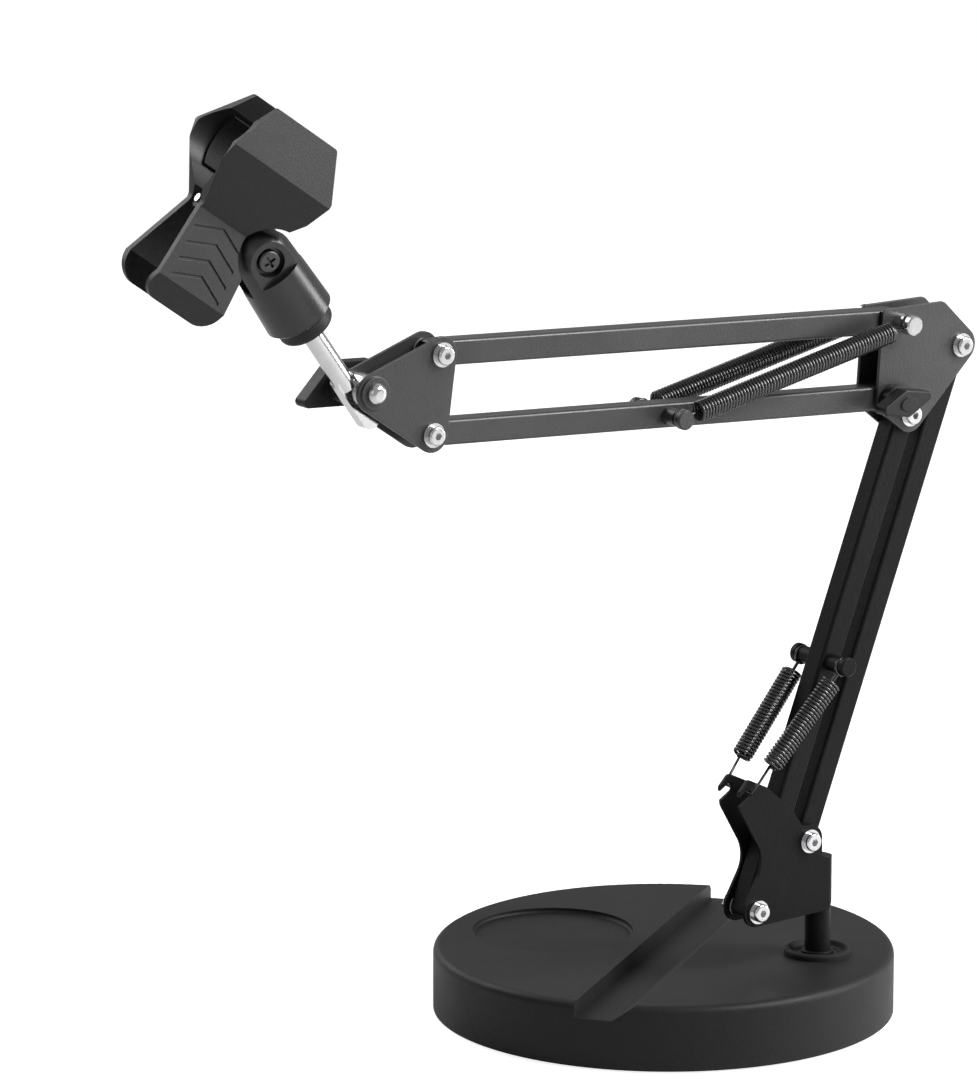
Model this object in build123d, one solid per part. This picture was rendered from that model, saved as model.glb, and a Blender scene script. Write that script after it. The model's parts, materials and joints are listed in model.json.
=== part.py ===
from build123d import *
import os
from math import atan2, cos, degrees, hypot, radians, sin

# Desktop microphone stand: a heavy round base, a post that swivels in it, a lower and an upper
# parallelogram arm with counterbalance springs, and a tilting spring clip for the microphone.
#
# Millimetres. The row frame has +Z up, its origin at the middle of the base's underside and
# +X through the post. The arm is drawn in its own frame, with the post's axis at x = y = 0,
# z measured from the table and y across the arm (-y is its front), and is turned into place.

os.makedirs("parts", exist_ok=True)

# ---------------------------------------------------------------- driving dimensions: base
BASE_R = 90.0
BASE_H = 26.0
BASE_WALL = 3.0
BASE_EDGE_R = 3.2
SHELL_LIFT = 0.8
PAD_T = 2.0
PAD_MARGIN = 1.5
FLOOR_T = 1.5
FLOOR_PLAY = 0.3
WEIGHT_T = 8.0
WEIGHT_PLAY = 1.2
SLOT_WALL_X = -7.7
SLOT_FLOOR_W = 15.0
SLOT_RAMP_W = 8.5
SLOT_DEPTH = 6.0
TRAY_X = -47.0
TRAY_Y = 4.5
TRAY_R = 31.5
TRAY_DEPTH = 2.0
TRAY_EDGE_R = 1.2
SCREW_RING_R = 66.0
SCREW_ANGLES = (35, 145, 215, 325)
SCREW_R = 1.5
SCREW_HEAD_R = 3.0
SCREW_DEPTH = 8.0
BOSS_R = 4.0

# ---------------------------------------------------------------- driving dimensions: post
POST_X = 61.0
POST_Y = 5.0
POST_R = 5.0
SPIGOT_R = 3.75
RUNNING_CLEARANCE = 0.05
SLEEVE_WALL = 3.0
SLEEVE_PROUD = 0.4
POST_BOTTOM_GAP = 1.5
COLLAR_R = 6.3
COLLAR_T = 1.5
GROMMET_R = 13.0
GROMMET_H = 2.6
GROMMET_FLOOR = 0.7
GROMMET_RIM = 1.9
GROMMET_NECK_T = 2.2
ARM_SWIVEL = 54.6
BLOCK_W = 13.2
BLOCK_RIGHT = 5.2
BLOCK_ROUND = 5.1
BLOCK_BELOW = 3.3
BLOCK_UNDER = 8.6

# ---------------------------------------------------------------- driving dimensions: arms
TUBE = 9.5
TUBE_WALL = 1.0
TUBE_CORNER_R = 1.2
PLATE_T = 1.5
SIDE_PLAY = 0.5
PLATE_GAP = TUBE + 2 * SIDE_PLAY
BOLT_R = 2.0
WASHER_R = 4.6
WASHER_T = 0.9
HEAD_R = 3.6
HEAD_T = 2.6
NUT_AF = 7.0
NUT_T = 3.2
NUT_PLAY = 0.02
BOLT_PROUD = 1.0
SOCKET_AF = 2.6
SOCKET_DEPTH = 1.6
SLIP_T = 0.4
SLIP_R = 4.4
OPEN_PIVOT_PLAY = 0.3
LOBE_R = 6.4

FOOT_PIVOT = (-9.9, 74.1)
FOOT_TO_SECOND = (-25.0, -24.3)
LOWER_LENGTH = 200.0
LOWER_ANGLE = 68.8
SPRING_POST = (32.0, 272.8)
POST_TO_SECOND = (-4.2, -29.5)
UPPER_LENGTH = 216.0
UPPER_ANGLE = 176.75
TIP_PIVOT = (-213.7, 274.1)

# ---------------------------------------------------------------- driving dimensions: springs
SPRING_Y = 12.4
COIL_R = 4.6
COIL_WALL = 1.3
END_TURNS_WALL = 0.8
COIL_CAP_T = 1.2
WIRE_R = 0.65
PIN_R = 2.0
PIN_HEAD_R = 3.8
PIN_HEAD_T = 2.6
HOOK_R = 3.2
UPPER_PIN_AT = 106.0
LOWER_PIN_AT = 100.0
BRACKET_HOOK = (-40.2, 97.2)
LOWER_HOOK_Y = 8.6
NOTCH_R = 1.7
UPPER_COIL_INSET = 13.0
LOWER_COIL_TOP_INSET = 9.5
LOWER_COIL_FOOT_INSET = 13.5
END_TURNS_L = 4.0
HOOK_SEAT = 0.05

# ---------------------------------------------------------------- driving dimensions: head
ROD_ANGLE = 125.7
ROD_OFFSET = 4.9
ROD_TO_SCREW = 70.8
ROD_R = 3.9
TANG_T = 5.0
TANG_TAIL = 13.0
EYE_R = 6.4
BARREL_R = 12.0
BARREL_FOOT_R = 13.2
BARREL_FLAT = 9.2
BARREL_FOOT_AT = 41.0
LOCK_RING_R = 10.6
LOCK_RING_T = 6.0
FORK_GAP = 9.4
FORK_DEPTH = 9.5
TILT_BOLT_R = 2.5
TILT_HEAD_R = 4.2
RECESS_R = 5.6
RECESS_DEPTH = 2.8
INSERT_WALL = 2.2
INSERT_R = ROD_R + INSERT_WALL
INSERT_L = 15.0
HEAD_YAW = -12.0
MIC_ANGLE = -35.0

# ---------------------------------------------------------------- driving dimensions: clip
MIC_R = 14.0
MIC_HEIGHT = 26.0
PAD_WALL = 1.2
JAW_LENGTH_AT = -20.4
JAW_TOP = 46.5
JAW_TOP_LEFT = 12.8
JAW_TOP_RIGHT = 16.0
JAW_HALF = 23.4
WAIST_HALF = 14.3
HANDLE_LEAN = -3.0
HANDLE_HALF = 16.2
HANDLE_END = -34.0
HINGE_HEIGHT = 4.5
HINGE_PIN_R = 1.5
KNUCKLE_R = 3.3
CLIP_SHEET = 2.7
HANDLE_BEND = 9.0
RELIEF_PLAY = 0.7
WAIST_N = 6.1
WIDE_N = MIC_R + PAD_WALL + 2.4
HANDLE_N = 15.2
TOE_N = 10.8
TIP_N = 11.0
KNUCKLE_GAP = 0.3
GROOVES = 4
GROOVE_FIRST = 2.0
GROOVE_PITCH = 6.4
GROOVE_HALF = 11.5
GROOVE_KNEE = 0.5
GROOVE_DROP = 5.0
GROOVE_W = 1.2
GROOVE_DEPTH = 0.45
LEG_R = 0.7
LEG_L = 15.0
LUG_T = 9.0
LUG_NECK_T = 6.0
LUG_R = 8.0

# ---------------------------------------------------------------- driving dimensions: knobs
KNOB_SPAN = 32.0
KNOB_RISE = 11.0
KNOB_TILT = 10.0
KNOB_BOSS = 0.42
KNOB_BOSS_T = 0.6
KNOB_HUB_R = 6.0
KNOB_HUB_T = 4.0
KNOB_T = 6.0
TIP_BOLT_R = 2.5
DOME_R = 3.9
DOME_T = 2.8
DOME_SEAT_R = 6.2
TIP_NUT_AF = 10.0
TIP_NUT_T = 4.0
WING_SPAN = 40.0
WING_RISE = 18.0
WING_T = 7.0
WING_TILT = 21.0


# ---------------------------------------------------------------- helpers
def along(start, angle, distance):
    """The point at a distance from start, along an angle in degrees from the plane's first axis."""
    return (start[0] + distance * cos(radians(angle)), start[1] + distance * sin(radians(angle)))


def shifted(point, step):
    return (point[0] + step[0], point[1] + step[1])


def angle_to(start, finish):
    return degrees(atan2(finish[1] - start[1], finish[0] - start[0]))


def distance_to(start, finish):
    return hypot(finish[0] - start[0], finish[1] - start[1])


def upright(profile, y_low, y_high):
    """Stand a flat profile up in the arm's plane and give it the span y_low to y_high."""
    return Pos(0, y_high, 0) * Rot(90, 0, 0) * extrude(profile, y_high - y_low)


def circle_at(point, radius):
    return Pos(*point) * Circle(radius)


def disc(point, radius, y_low, y_high):
    return upright(circle_at(point, radius), y_low, y_high)


def ring(point, outer, inner, y_low, y_high):
    return upright(circle_at(point, outer) - circle_at(point, inner), y_low, y_high)


def hexagon(point, across_flats, y_low, y_high, turn=0):
    shape = Rot(0, 0, turn) * RegularPolygon(across_flats / 2, 6, major_radius=False)
    return upright(Pos(*point) * shape, y_low, y_high)


def hull_of(circles):
    """The rounded outline that wraps round a list of (point, radius) circles."""
    edges = [edge for point, radius in circles for edge in circle_at(point, radius).edges()]
    return make_hull(edges)


def outline(corners):
    """A closed outline from (x, z, corner radius) triples."""
    points = [(x, z) for x, z, radius in corners]
    return make_face(FilletPolyline(*points, radius=[radius for x, z, radius in corners], close=True))


def mirrored(solid):
    """The same solid on the other side of the arm's middle plane."""
    return mirror(solid, Plane.XZ)


def group(solids):
    return Compound(children=list(solids))


# ---------------------------------------------------------------- derived places, arm frame
FOOT_SECOND = shifted(FOOT_PIVOT, FOOT_TO_SECOND)
ELBOW_PIVOT = along(FOOT_PIVOT, LOWER_ANGLE, LOWER_LENGTH)
ELBOW_SECOND = shifted(ELBOW_PIVOT, FOOT_TO_SECOND)
UPPER_PIVOT = shifted(SPRING_POST, POST_TO_SECOND)
TIP_UPPER = along(SPRING_POST, UPPER_ANGLE, UPPER_LENGTH)
TIP_LOWER = along(UPPER_PIVOT, UPPER_ANGLE, UPPER_LENGTH)
UPPER_PIN = along(UPPER_PIVOT, UPPER_ANGLE, UPPER_PIN_AT)
LOWER_PIN = along(FOOT_SECOND, LOWER_ANGLE, LOWER_PIN_AT)
LOWER_HOOK = along(BRACKET_HOOK, angle_to(BRACKET_HOOK, LOWER_PIN), NOTCH_R - WIRE_R - HOOK_SEAT)
ROD_FOOT = along(TIP_PIVOT, ROD_ANGLE + 90, ROD_OFFSET)
TILT_PIVOT = along(ROD_FOOT, ROD_ANGLE, ROD_TO_SCREW)
WAIST_LEFT = JAW_LENGTH_AT - WAIST_HALF + 0.6
WAIST_RIGHT = -BARREL_R - RELIEF_PLAY
KNUCKLE_L = (WAIST_RIGHT - WAIST_LEFT) / 5
HANDLE_LEAN_BACK = atan2(HANDLE_N - WAIST_N, HINGE_HEIGHT - 2.0 - HANDLE_END - HANDLE_BEND)

PLATE_IN = PLATE_GAP / 2
PLATE_OUT = PLATE_IN + PLATE_T
SIDE_GAP = (PLATE_GAP - TUBE) / 2
PIVOT_HOLE_R = BOLT_R + RUNNING_CLEARANCE
BASE_TOP = BASE_H
FLOOR_TOP = PAD_T + FLOOR_T
WEIGHT_TOP = FLOOR_TOP + WEIGHT_T
SLEEVE_R = POST_R + RUNNING_CLEARANCE + SLEEVE_WALL
SLEEVE_TOP = BASE_TOP + SLEEVE_PROUD
COLLAR_FOOT = SLEEVE_TOP + RUNNING_CLEARANCE
BLOCK_BOTTOM = FOOT_SECOND[1] - BLOCK_BELOW
BLOCK_TOP = FOOT_PIVOT[1] - BLOCK_UNDER


# ---------------------------------------------------------------- base
def slot_channel(margin=0.0):
    """The phone slot as a prism across the base: a steep wall, a flat floor and a ramp."""
    low = BASE_TOP - SLOT_DEPTH - margin
    high = BASE_TOP + 1.0
    left = SLOT_WALL_X - margin
    floor_end = SLOT_WALL_X + SLOT_FLOOR_W + margin
    ramp_end = floor_end + SLOT_RAMP_W * (high - low) / (SLOT_DEPTH + margin)
    profile = Polyline((left, low), (floor_end, low), (ramp_end, high), (left, high), close=True)
    return upright(make_face(profile), -BASE_R - 1, BASE_R + 1)


def tray_cut(margin=0.0):
    return Pos(TRAY_X, TRAY_Y, BASE_TOP - TRAY_DEPTH - margin) * Cylinder(
        TRAY_R + margin, TRAY_DEPTH + 1 + margin, align=(Align.CENTER, Align.CENTER, Align.MIN))


def standing(x, y, z_low, z_high, radius):
    return Pos(x, y, z_low) * Cylinder(
        radius, z_high - z_low, align=(Align.CENTER, Align.CENTER, Align.MIN))


def screw_places():
    return [along((0, 0), angle, SCREW_RING_R) for angle in SCREW_ANGLES]


def base_shell():
    shell = standing(0, 0, SHELL_LIFT, BASE_TOP, BASE_R)
    shell = fillet(shell.edges().group_by(Axis.Z)[-1], BASE_EDGE_R)
    shell = shell - slot_channel()
    tray = tray_cut()
    tray = fillet(tray.edges().group_by(Axis.Z)[0], TRAY_EDGE_R)
    shell = shell - tray
    cavity = standing(0, 0, 0, BASE_TOP - BASE_WALL, BASE_R - BASE_WALL)
    cavity = cavity - slot_channel(BASE_WALL) - tray_cut(BASE_WALL)
    for x, y in screw_places():
        cavity = cavity - standing(x, y, WEIGHT_TOP, BASE_TOP, BOSS_R)
    shell = shell - cavity
    for x, y in screw_places():
        shell = shell - standing(x, y, WEIGHT_TOP - 1, WEIGHT_TOP + SCREW_DEPTH, SCREW_R)
    return shell - standing(POST_X, POST_Y, 0, BASE_TOP + 1, SLEEVE_R + GROMMET_NECK_T)


def base_weight():
    weight = standing(0, 0, FLOOR_TOP, WEIGHT_TOP, BASE_R - BASE_WALL - WEIGHT_PLAY)
    weight = chamfer(weight.edges(), 0.8)
    for x, y in screw_places():
        weight = weight - standing(x, y, 0, BASE_TOP, SCREW_R + 0.2)
    return weight - standing(POST_X, POST_Y, 0, BASE_TOP, SLEEVE_R)


def bottom_plate():
    plate = standing(0, 0, PAD_T, FLOOR_TOP, BASE_R - BASE_WALL - FLOOR_PLAY)
    for x, y in screw_places():
        plate = plate - standing(x, y, 0, FLOOR_TOP + 1, SCREW_R + 0.2)
        plate = plate - Pos(x, y, PAD_T) * Cone(
            SCREW_HEAD_R, SCREW_R + 0.2, FLOOR_T, align=(Align.CENTER, Align.CENTER, Align.MIN))
    return plate


def base_screw(x, y):
    shank = standing(x, y, PAD_T, WEIGHT_TOP + SCREW_DEPTH - 1, SCREW_R - NUT_PLAY)
    head = Pos(x, y, PAD_T) * Cone(
        SCREW_HEAD_R - NUT_PLAY, SCREW_R - NUT_PLAY, FLOOR_T, align=(Align.CENTER, Align.CENTER, Align.MIN))
    return shank + head - Pos(x, y, PAD_T) * Box(3.6, 0.8, 1.2) - Pos(x, y, PAD_T) * Box(0.8, 3.6, 1.2)


def foot_pad():
    return standing(0, 0, 0, PAD_T, BASE_R - BASE_WALL - PAD_MARGIN)


def post_grommet():
    """A rubber ring with a rounded lip and a dished middle, its neck in the shell's hole."""
    top = BASE_TOP + GROMMET_H
    floor = BASE_TOP + GROMMET_FLOOR
    neck_in = SLEEVE_R + NUT_PLAY
    neck_out = SLEEVE_R + GROMMET_NECK_T - NUT_PLAY
    profile = outline([
        (neck_in, BASE_TOP - BASE_WALL, 0), (neck_out, BASE_TOP - BASE_WALL, 0), (neck_out, BASE_TOP, 0),
        (GROMMET_R, BASE_TOP, 0), (GROMMET_R, top, GROMMET_RIM * 0.7),
        (GROMMET_R - GROMMET_RIM, top, GROMMET_RIM * 0.25), (GROMMET_R - GROMMET_RIM * 1.6, floor, 0.8),
        (neck_in, floor, 0)])
    return Pos(POST_X, POST_Y, 0) * revolve(Plane.XZ * profile, Axis.Z)


def bearing_sleeve():
    return standing(POST_X, POST_Y, FLOOR_TOP, SLEEVE_TOP, SLEEVE_R) - standing(
        POST_X, POST_Y, 0, BASE_TOP + 20, POST_R + RUNNING_CLEARANCE)


# ---------------------------------------------------------------- post and bracket, arm frame
def post_rod():
    shank = standing(0, 0, FLOOR_TOP + POST_BOTTOM_GAP, BLOCK_BOTTOM, POST_R)
    return shank + standing(0, 0, BLOCK_BOTTOM, BLOCK_TOP - 2, SPIGOT_R)


def post_collar():
    collar = standing(0, 0, COLLAR_FOOT, COLLAR_FOOT + COLLAR_T, COLLAR_R)
    collar = fillet(collar.edges().group_by(Axis.Z)[-1], 0.6)
    return collar - standing(0, 0, 0, BASE_TOP + 20, POST_R)


def post_block():
    """The post's head: it fills the gap between the bracket plates and is round at its right end."""
    block = Pos(BLOCK_RIGHT, 0, BLOCK_BOTTOM) * Box(
        BLOCK_W, PLATE_GAP, BLOCK_TOP - BLOCK_BOTTOM, align=(Align.MAX, Align.CENTER, Align.MIN))
    block = fillet(block.edges().filter_by(Axis.Z).group_by(Axis.X)[-1], BLOCK_ROUND)
    return block - standing(0, 0, 0, BLOCK_TOP - 2, SPIGOT_R)


def bracket_outline():
    """The bracket plate: a lobe round each foot pivot and an arm up to the spring hook."""
    fx, fz = FOOT_PIVOT
    sx, sz = FOOT_SECOND
    hx, hz = BRACKET_HOOK
    profile = outline([
        (0.5, BLOCK_BOTTOM - 1.4, 1.0), (0.5, BLOCK_TOP + 0.3, 1.2),
        (fx + LOBE_R, BLOCK_TOP + 1.6, 0.8), (fx + LOBE_R, fz + LOBE_R, LOBE_R - 0.2),
        (fx - 3.4, fz + LOBE_R, 1.6), (fx - 8.5, fz + 14.0, 2.5),
        (hx + 9.0, hz + 1.6, 2.0), (hx + 0.2, hz + 5.8, 2.2),
        (hx - 4.4, hz + 1.0, 2.2), (hx - 3.4, hz - 6.4, 3.0),
        (sx + 3.6, sz + 20.0, 13.0), (sx - LOBE_R, sz + 2.6, 5.0),
        (sx - LOBE_R + 0.4, sz - LOBE_R + 0.4, LOBE_R - 1.0)])
    notch = hull_of([(BRACKET_HOOK, NOTCH_R), (shifted(BRACKET_HOOK, (-8.0, -5.0)), NOTCH_R)])
    for pivot in (FOOT_PIVOT, FOOT_SECOND):
        profile = profile - circle_at(pivot, PIVOT_HOLE_R)
    return profile - notch


def front_and_back(profile):
    front = upright(profile, -PLATE_OUT, -PLATE_IN)
    return front, upright(profile, PLATE_IN, PLATE_OUT)


# ---------------------------------------------------------------- pivots
def hex_bolt(pivot):
    """A button-head bolt with a hexagon socket, from the front plate to the nut at the back."""
    face = -PLATE_OUT - WASHER_T
    shank = disc(pivot, BOLT_R, face - 0.5, PLATE_OUT + WASHER_T + NUT_T + BOLT_PROUD)
    head = disc(pivot, HEAD_R, face - HEAD_T, face)
    head = fillet(head.edges().group_by(Axis.Y)[0], 0.9)
    return shank + head - hexagon(pivot, SOCKET_AF, face - HEAD_T - 1, face - HEAD_T + SOCKET_DEPTH)


def washers(pivot):
    front = ring(pivot, WASHER_R, PIVOT_HOLE_R, -PLATE_OUT - WASHER_T, -PLATE_OUT)
    return [front, mirrored(front)]


def hex_nut(pivot):
    face = PLATE_OUT + WASHER_T
    nut = hexagon(pivot, NUT_AF, face, face + NUT_T)
    return nut - disc(pivot, BOLT_R + NUT_PLAY, face - 1, face + NUT_T + 1)


def slip_washers(pivot):
    middle = (TUBE / 2 + PLATE_IN) / 2
    front = ring(pivot, SLIP_R, PIVOT_HOLE_R, -middle - SLIP_T / 2, -middle + SLIP_T / 2)
    return [front, mirrored(front)]


def link_tube(start, finish, finish_play=0.0, pin=None):
    """A square tube with rounded ends, drilled at both pivots and for a spring pin."""
    length = distance_to(start, finish)
    middle = ((start[0] + finish[0]) / 2, (start[1] + finish[1]) / 2)
    place = Pos(*middle) * Rot(0, 0, angle_to(start, finish))
    tube = extrude(SlotCenterToCenter(length, TUBE), TUBE)
    tube = fillet(tube.faces().sort_by(Axis.Z)[0].edges() + tube.faces().sort_by(Axis.Z)[-1].edges(),
                  TUBE_CORNER_R)
    bore = TUBE - 2 * TUBE_WALL
    tube = tube - Pos(0, 0, TUBE / 2) * Box(length + 2 * TUBE, bore, bore)
    tube = Pos(0, TUBE / 2, 0) * Rot(90, 0, 0) * place * tube
    tube = tube - disc(start, PIVOT_HOLE_R, -TUBE, TUBE)
    tube = tube - disc(finish, PIVOT_HOLE_R + finish_play, -TUBE, TUBE)
    if pin is not None:
        tube = tube - disc(pin, PIN_R + NUT_PLAY, -TUBE, TUBE)
    return tube


def spring_pin(pivot):
    """A pin right through a tube, with a spacer, a groove for the spring and a head on each side."""
    spacer_end = SPRING_Y - WIRE_R - 0.5
    head_start = SPRING_Y + WIRE_R + 0.5
    pin = disc(pivot, PIN_R, -head_start - 0.5, head_start + 0.5)
    spacer = ring(pivot, PIN_R + 1.3, PIN_R - 0.2, -spacer_end, -TUBE / 2 - 0.05)
    head = disc(pivot, PIN_HEAD_R, -head_start - PIN_HEAD_T, -head_start)
    head = chamfer(head.edges().group_by(Axis.Y)[0], 0.5)
    side = spacer + head
    return pin + side + mirrored(side)


def spring_post():
    """The elbow's long pin: the top tube turns on it and both upper springs hook onto its ends."""
    spacer_end = SPRING_Y - WIRE_R - 0.5
    head_start = SPRING_Y + WIRE_R + 0.5
    pin = disc(SPRING_POST, BOLT_R, -head_start - 0.5, head_start + 0.5)
    spacer = ring(SPRING_POST, BOLT_R + 1.6, BOLT_R - 0.2, -spacer_end, -PLATE_OUT)
    head = disc(SPRING_POST, PIN_HEAD_R, -head_start - PIN_HEAD_T, -head_start)
    head = chamfer(head.edges().group_by(Axis.Y)[0], 0.6)
    side = spacer + head
    return pin + side + mirrored(side)


# ---------------------------------------------------------------- elbow
def elbow_outline():
    ax, az = SPRING_POST
    top = az + 5.8
    profile = hull_of([
        ((ax - 6.8, top - 1.6), 1.6), ((ax + 20.5, top - 3.0), 3.0), (ELBOW_PIVOT, LOBE_R + 0.6),
        (ELBOW_SECOND, LOBE_R + 0.6), (UPPER_PIVOT, LOBE_R + 0.2)])
    for pivot in (SPRING_POST, ELBOW_PIVOT, ELBOW_SECOND, UPPER_PIVOT):
        profile = profile - circle_at(pivot, PIVOT_HOLE_R)
    return profile


def elbow_knob_bolt():
    """The friction bolt of the elbow, moulded into its wing knob."""
    washer_face = PLATE_OUT + WASHER_T
    return disc(UPPER_PIVOT, BOLT_R, -washer_face - KNOB_HUB_T - 2, washer_face + NUT_T + BOLT_PROUD)


def elbow_knob():
    """A lozenge-shaped wing on a round hub, with a small raised lozenge in its middle."""
    hub_face = -PLATE_OUT - WASHER_T - RUNNING_CLEARANCE
    wing_face = hub_face - KNOB_HUB_T
    hub = disc(UPPER_PIVOT, KNOB_HUB_R, wing_face, hub_face)
    profile = Pos(*UPPER_PIVOT) * lozenge(KNOB_SPAN, KNOB_RISE, KNOB_TILT)
    wing = upright(profile, wing_face - KNOB_T, wing_face)
    wing = fillet(wing.edges().group_by(Axis.Y)[0], 0.8)
    raised = Pos(*UPPER_PIVOT) * lozenge(KNOB_SPAN * KNOB_BOSS, KNOB_RISE * KNOB_BOSS * 1.3, KNOB_TILT)
    boss = upright(raised, wing_face - KNOB_T - KNOB_BOSS_T, wing_face - KNOB_T + KNOB_BOSS_T)
    knob = hub + wing + boss
    return knob - disc(UPPER_PIVOT, BOLT_R, wing_face - 2, 0)


def elbow_knob_nut():
    face = PLATE_OUT + WASHER_T
    nut = hexagon(UPPER_PIVOT, NUT_AF, face, face + NUT_T)
    return nut - disc(UPPER_PIVOT, PIVOT_HOLE_R, face - 1, face + NUT_T + 1)


# ---------------------------------------------------------------- tip
def tip_outline():
    profile = hull_of([(TIP_UPPER, LOBE_R + 0.3), (TIP_LOWER, LOBE_R + 0.3), (TIP_PIVOT, 7.5)])
    for pivot in (TIP_UPPER, TIP_LOWER):
        profile = profile - circle_at(pivot, PIVOT_HOLE_R)
    return profile - circle_at(TIP_PIVOT, TIP_BOLT_R + RUNNING_CLEARANCE)


def tip_clamp_bolt():
    """A dome-headed bolt through the nose of the tip, ending inside the wing knob."""
    washer_face = -PLATE_OUT - WASHER_T
    dome = disc(TIP_PIVOT, DOME_R, washer_face - DOME_T, washer_face)
    dome = fillet(dome.edges().group_by(Axis.Y)[0], DOME_T * 0.85)
    bolt_end = PLATE_OUT + TIP_NUT_T + KNOB_HUB_T + WING_T / 2 - 0.5
    return dome + disc(TIP_PIVOT, TIP_BOLT_R, washer_face - 0.5, bolt_end)


def tip_dome_seat():
    """A seat pressed out of the front plate under the domed bolt."""
    return ring(TIP_PIVOT, DOME_SEAT_R, TIP_BOLT_R + RUNNING_CLEARANCE, -PLATE_OUT - WASHER_T, -PLATE_IN)


def tip_lock_nut():
    face = PLATE_OUT
    nut = hexagon(TIP_PIVOT, TIP_NUT_AF, face, face + TIP_NUT_T)
    return nut - disc(TIP_PIVOT, TIP_BOLT_R + NUT_PLAY, face - 1, face + TIP_NUT_T + 1)


def lozenge(span, rise, tilt):
    """A wing's flat outline: a diamond with rounded corners."""
    half, high = span / 2, rise / 2
    return Rot(0, 0, tilt) * outline([(half, 0, 2.0), (0, high, 2.0), (-half, 0, 2.0), (0, -high, 2.0)])


def tip_wing_knob():
    """The clamp's knob: a broad lozenge-shaped wing on a round hub, behind the back plate."""
    face = PLATE_OUT + TIP_NUT_T + RUNNING_CLEARANCE
    hub = disc(TIP_PIVOT, KNOB_HUB_R + 0.4, face, face + KNOB_HUB_T)
    wing_face = face + KNOB_HUB_T
    profile = Pos(*TIP_PIVOT) * lozenge(WING_SPAN, WING_RISE, WING_TILT)
    wing = upright(profile, wing_face, wing_face + WING_T)
    wing = fillet(wing.edges().group_by(Axis.Y)[-1], 1.2)
    return hub + wing - disc(TIP_PIVOT, TIP_BOLT_R + RUNNING_CLEARANCE, 0, wing_face + WING_T / 2)


# ---------------------------------------------------------------- swivel rod, along its own axis
ROD_PLACE = Plane(origin=(ROD_FOOT[0], 0, ROD_FOOT[1]),
                  x_dir=(sin(radians(ROD_ANGLE)), 0, -cos(radians(ROD_ANGLE))),
                  z_dir=(cos(radians(ROD_ANGLE)), 0, sin(radians(ROD_ANGLE)))).location


def swivel_rod():
    """A round rod whose foot is forged into a flat tang with an eye beside it."""
    shank = Pos(0, 0, EYE_R) * Cylinder(
        ROD_R, BARREL_FOOT_AT + 12 - EYE_R, align=(Align.CENTER, Align.CENTER, Align.MIN))
    foot = ROD_PLACE * shank
    tail = along(ROD_FOOT, ROD_ANGLE, -TANG_TAIL + ROD_R)
    crown = along(ROD_FOOT, ROD_ANGLE, EYE_R + 3.0)
    tang = upright(hull_of([(tail, ROD_R), (crown, ROD_R)]), -TANG_T / 2, TANG_T / 2)
    eye = disc(TIP_PIVOT, EYE_R, -TANG_T / 2, TANG_T / 2)
    return foot + tang + eye - disc(TIP_PIVOT, TIP_BOLT_R + RUNNING_CLEARANCE, -TANG_T, TANG_T)


def rod_spacers():
    outer = PLATE_IN - RUNNING_CLEARANCE
    front = ring(TIP_PIVOT, EYE_R - 0.2, TIP_BOLT_R + RUNNING_CLEARANCE, -outer, -TANG_T / 2)
    return group([front, mirrored(front)])


def lock_ring():
    """A round nut run down the rod against the barrel's foot."""
    foot = BARREL_FOOT_AT - LOCK_RING_T
    body = Pos(0, 0, foot) * Cylinder(
        LOCK_RING_R, LOCK_RING_T - RUNNING_CLEARANCE, align=(Align.CENTER, Align.CENTER, Align.MIN))
    body = fillet(body.edges().group_by(Axis.Z)[0], 2.4)
    return ROD_PLACE * (body - Cylinder(ROD_R, 200))


# ---------------------------------------------------------------- barrel and clip, head frame
def turned(vector):
    """A direction of the arm's frame after the head's yaw about the rod."""
    spun = Vector(*vector).rotate(Axis((0, 0, 0), ROD_AXIS), HEAD_YAW)
    return (spun.X, spun.Y, spun.Z)


ROD_AXIS = (cos(radians(ROD_ANGLE)), 0, sin(radians(ROD_ANGLE)))
MIC_AXIS = turned((cos(radians(MIC_ANGLE)), 0, sin(radians(MIC_ANGLE))))
CLIP_UP = turned((-sin(radians(MIC_ANGLE)), 0, cos(radians(MIC_ANGLE))))
TILT_AXIS = turned((0, -1, 0))
TILT_ORIGIN = (TILT_PIVOT[0], 0, TILT_PIVOT[1])

# In both frames y points to the back: z is along the rod in one, and up through the jaws in the other.
BARREL_X = turned((sin(radians(ROD_ANGLE)), 0, -cos(radians(ROD_ANGLE))))
BARREL_PLACE = Plane(origin=TILT_ORIGIN, x_dir=BARREL_X, z_dir=ROD_AXIS).location
CLIP_PLACE = Plane(origin=TILT_ORIGIN, x_dir=MIC_AXIS, z_dir=CLIP_UP).location
ORIGIN = (0, 0)


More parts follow.
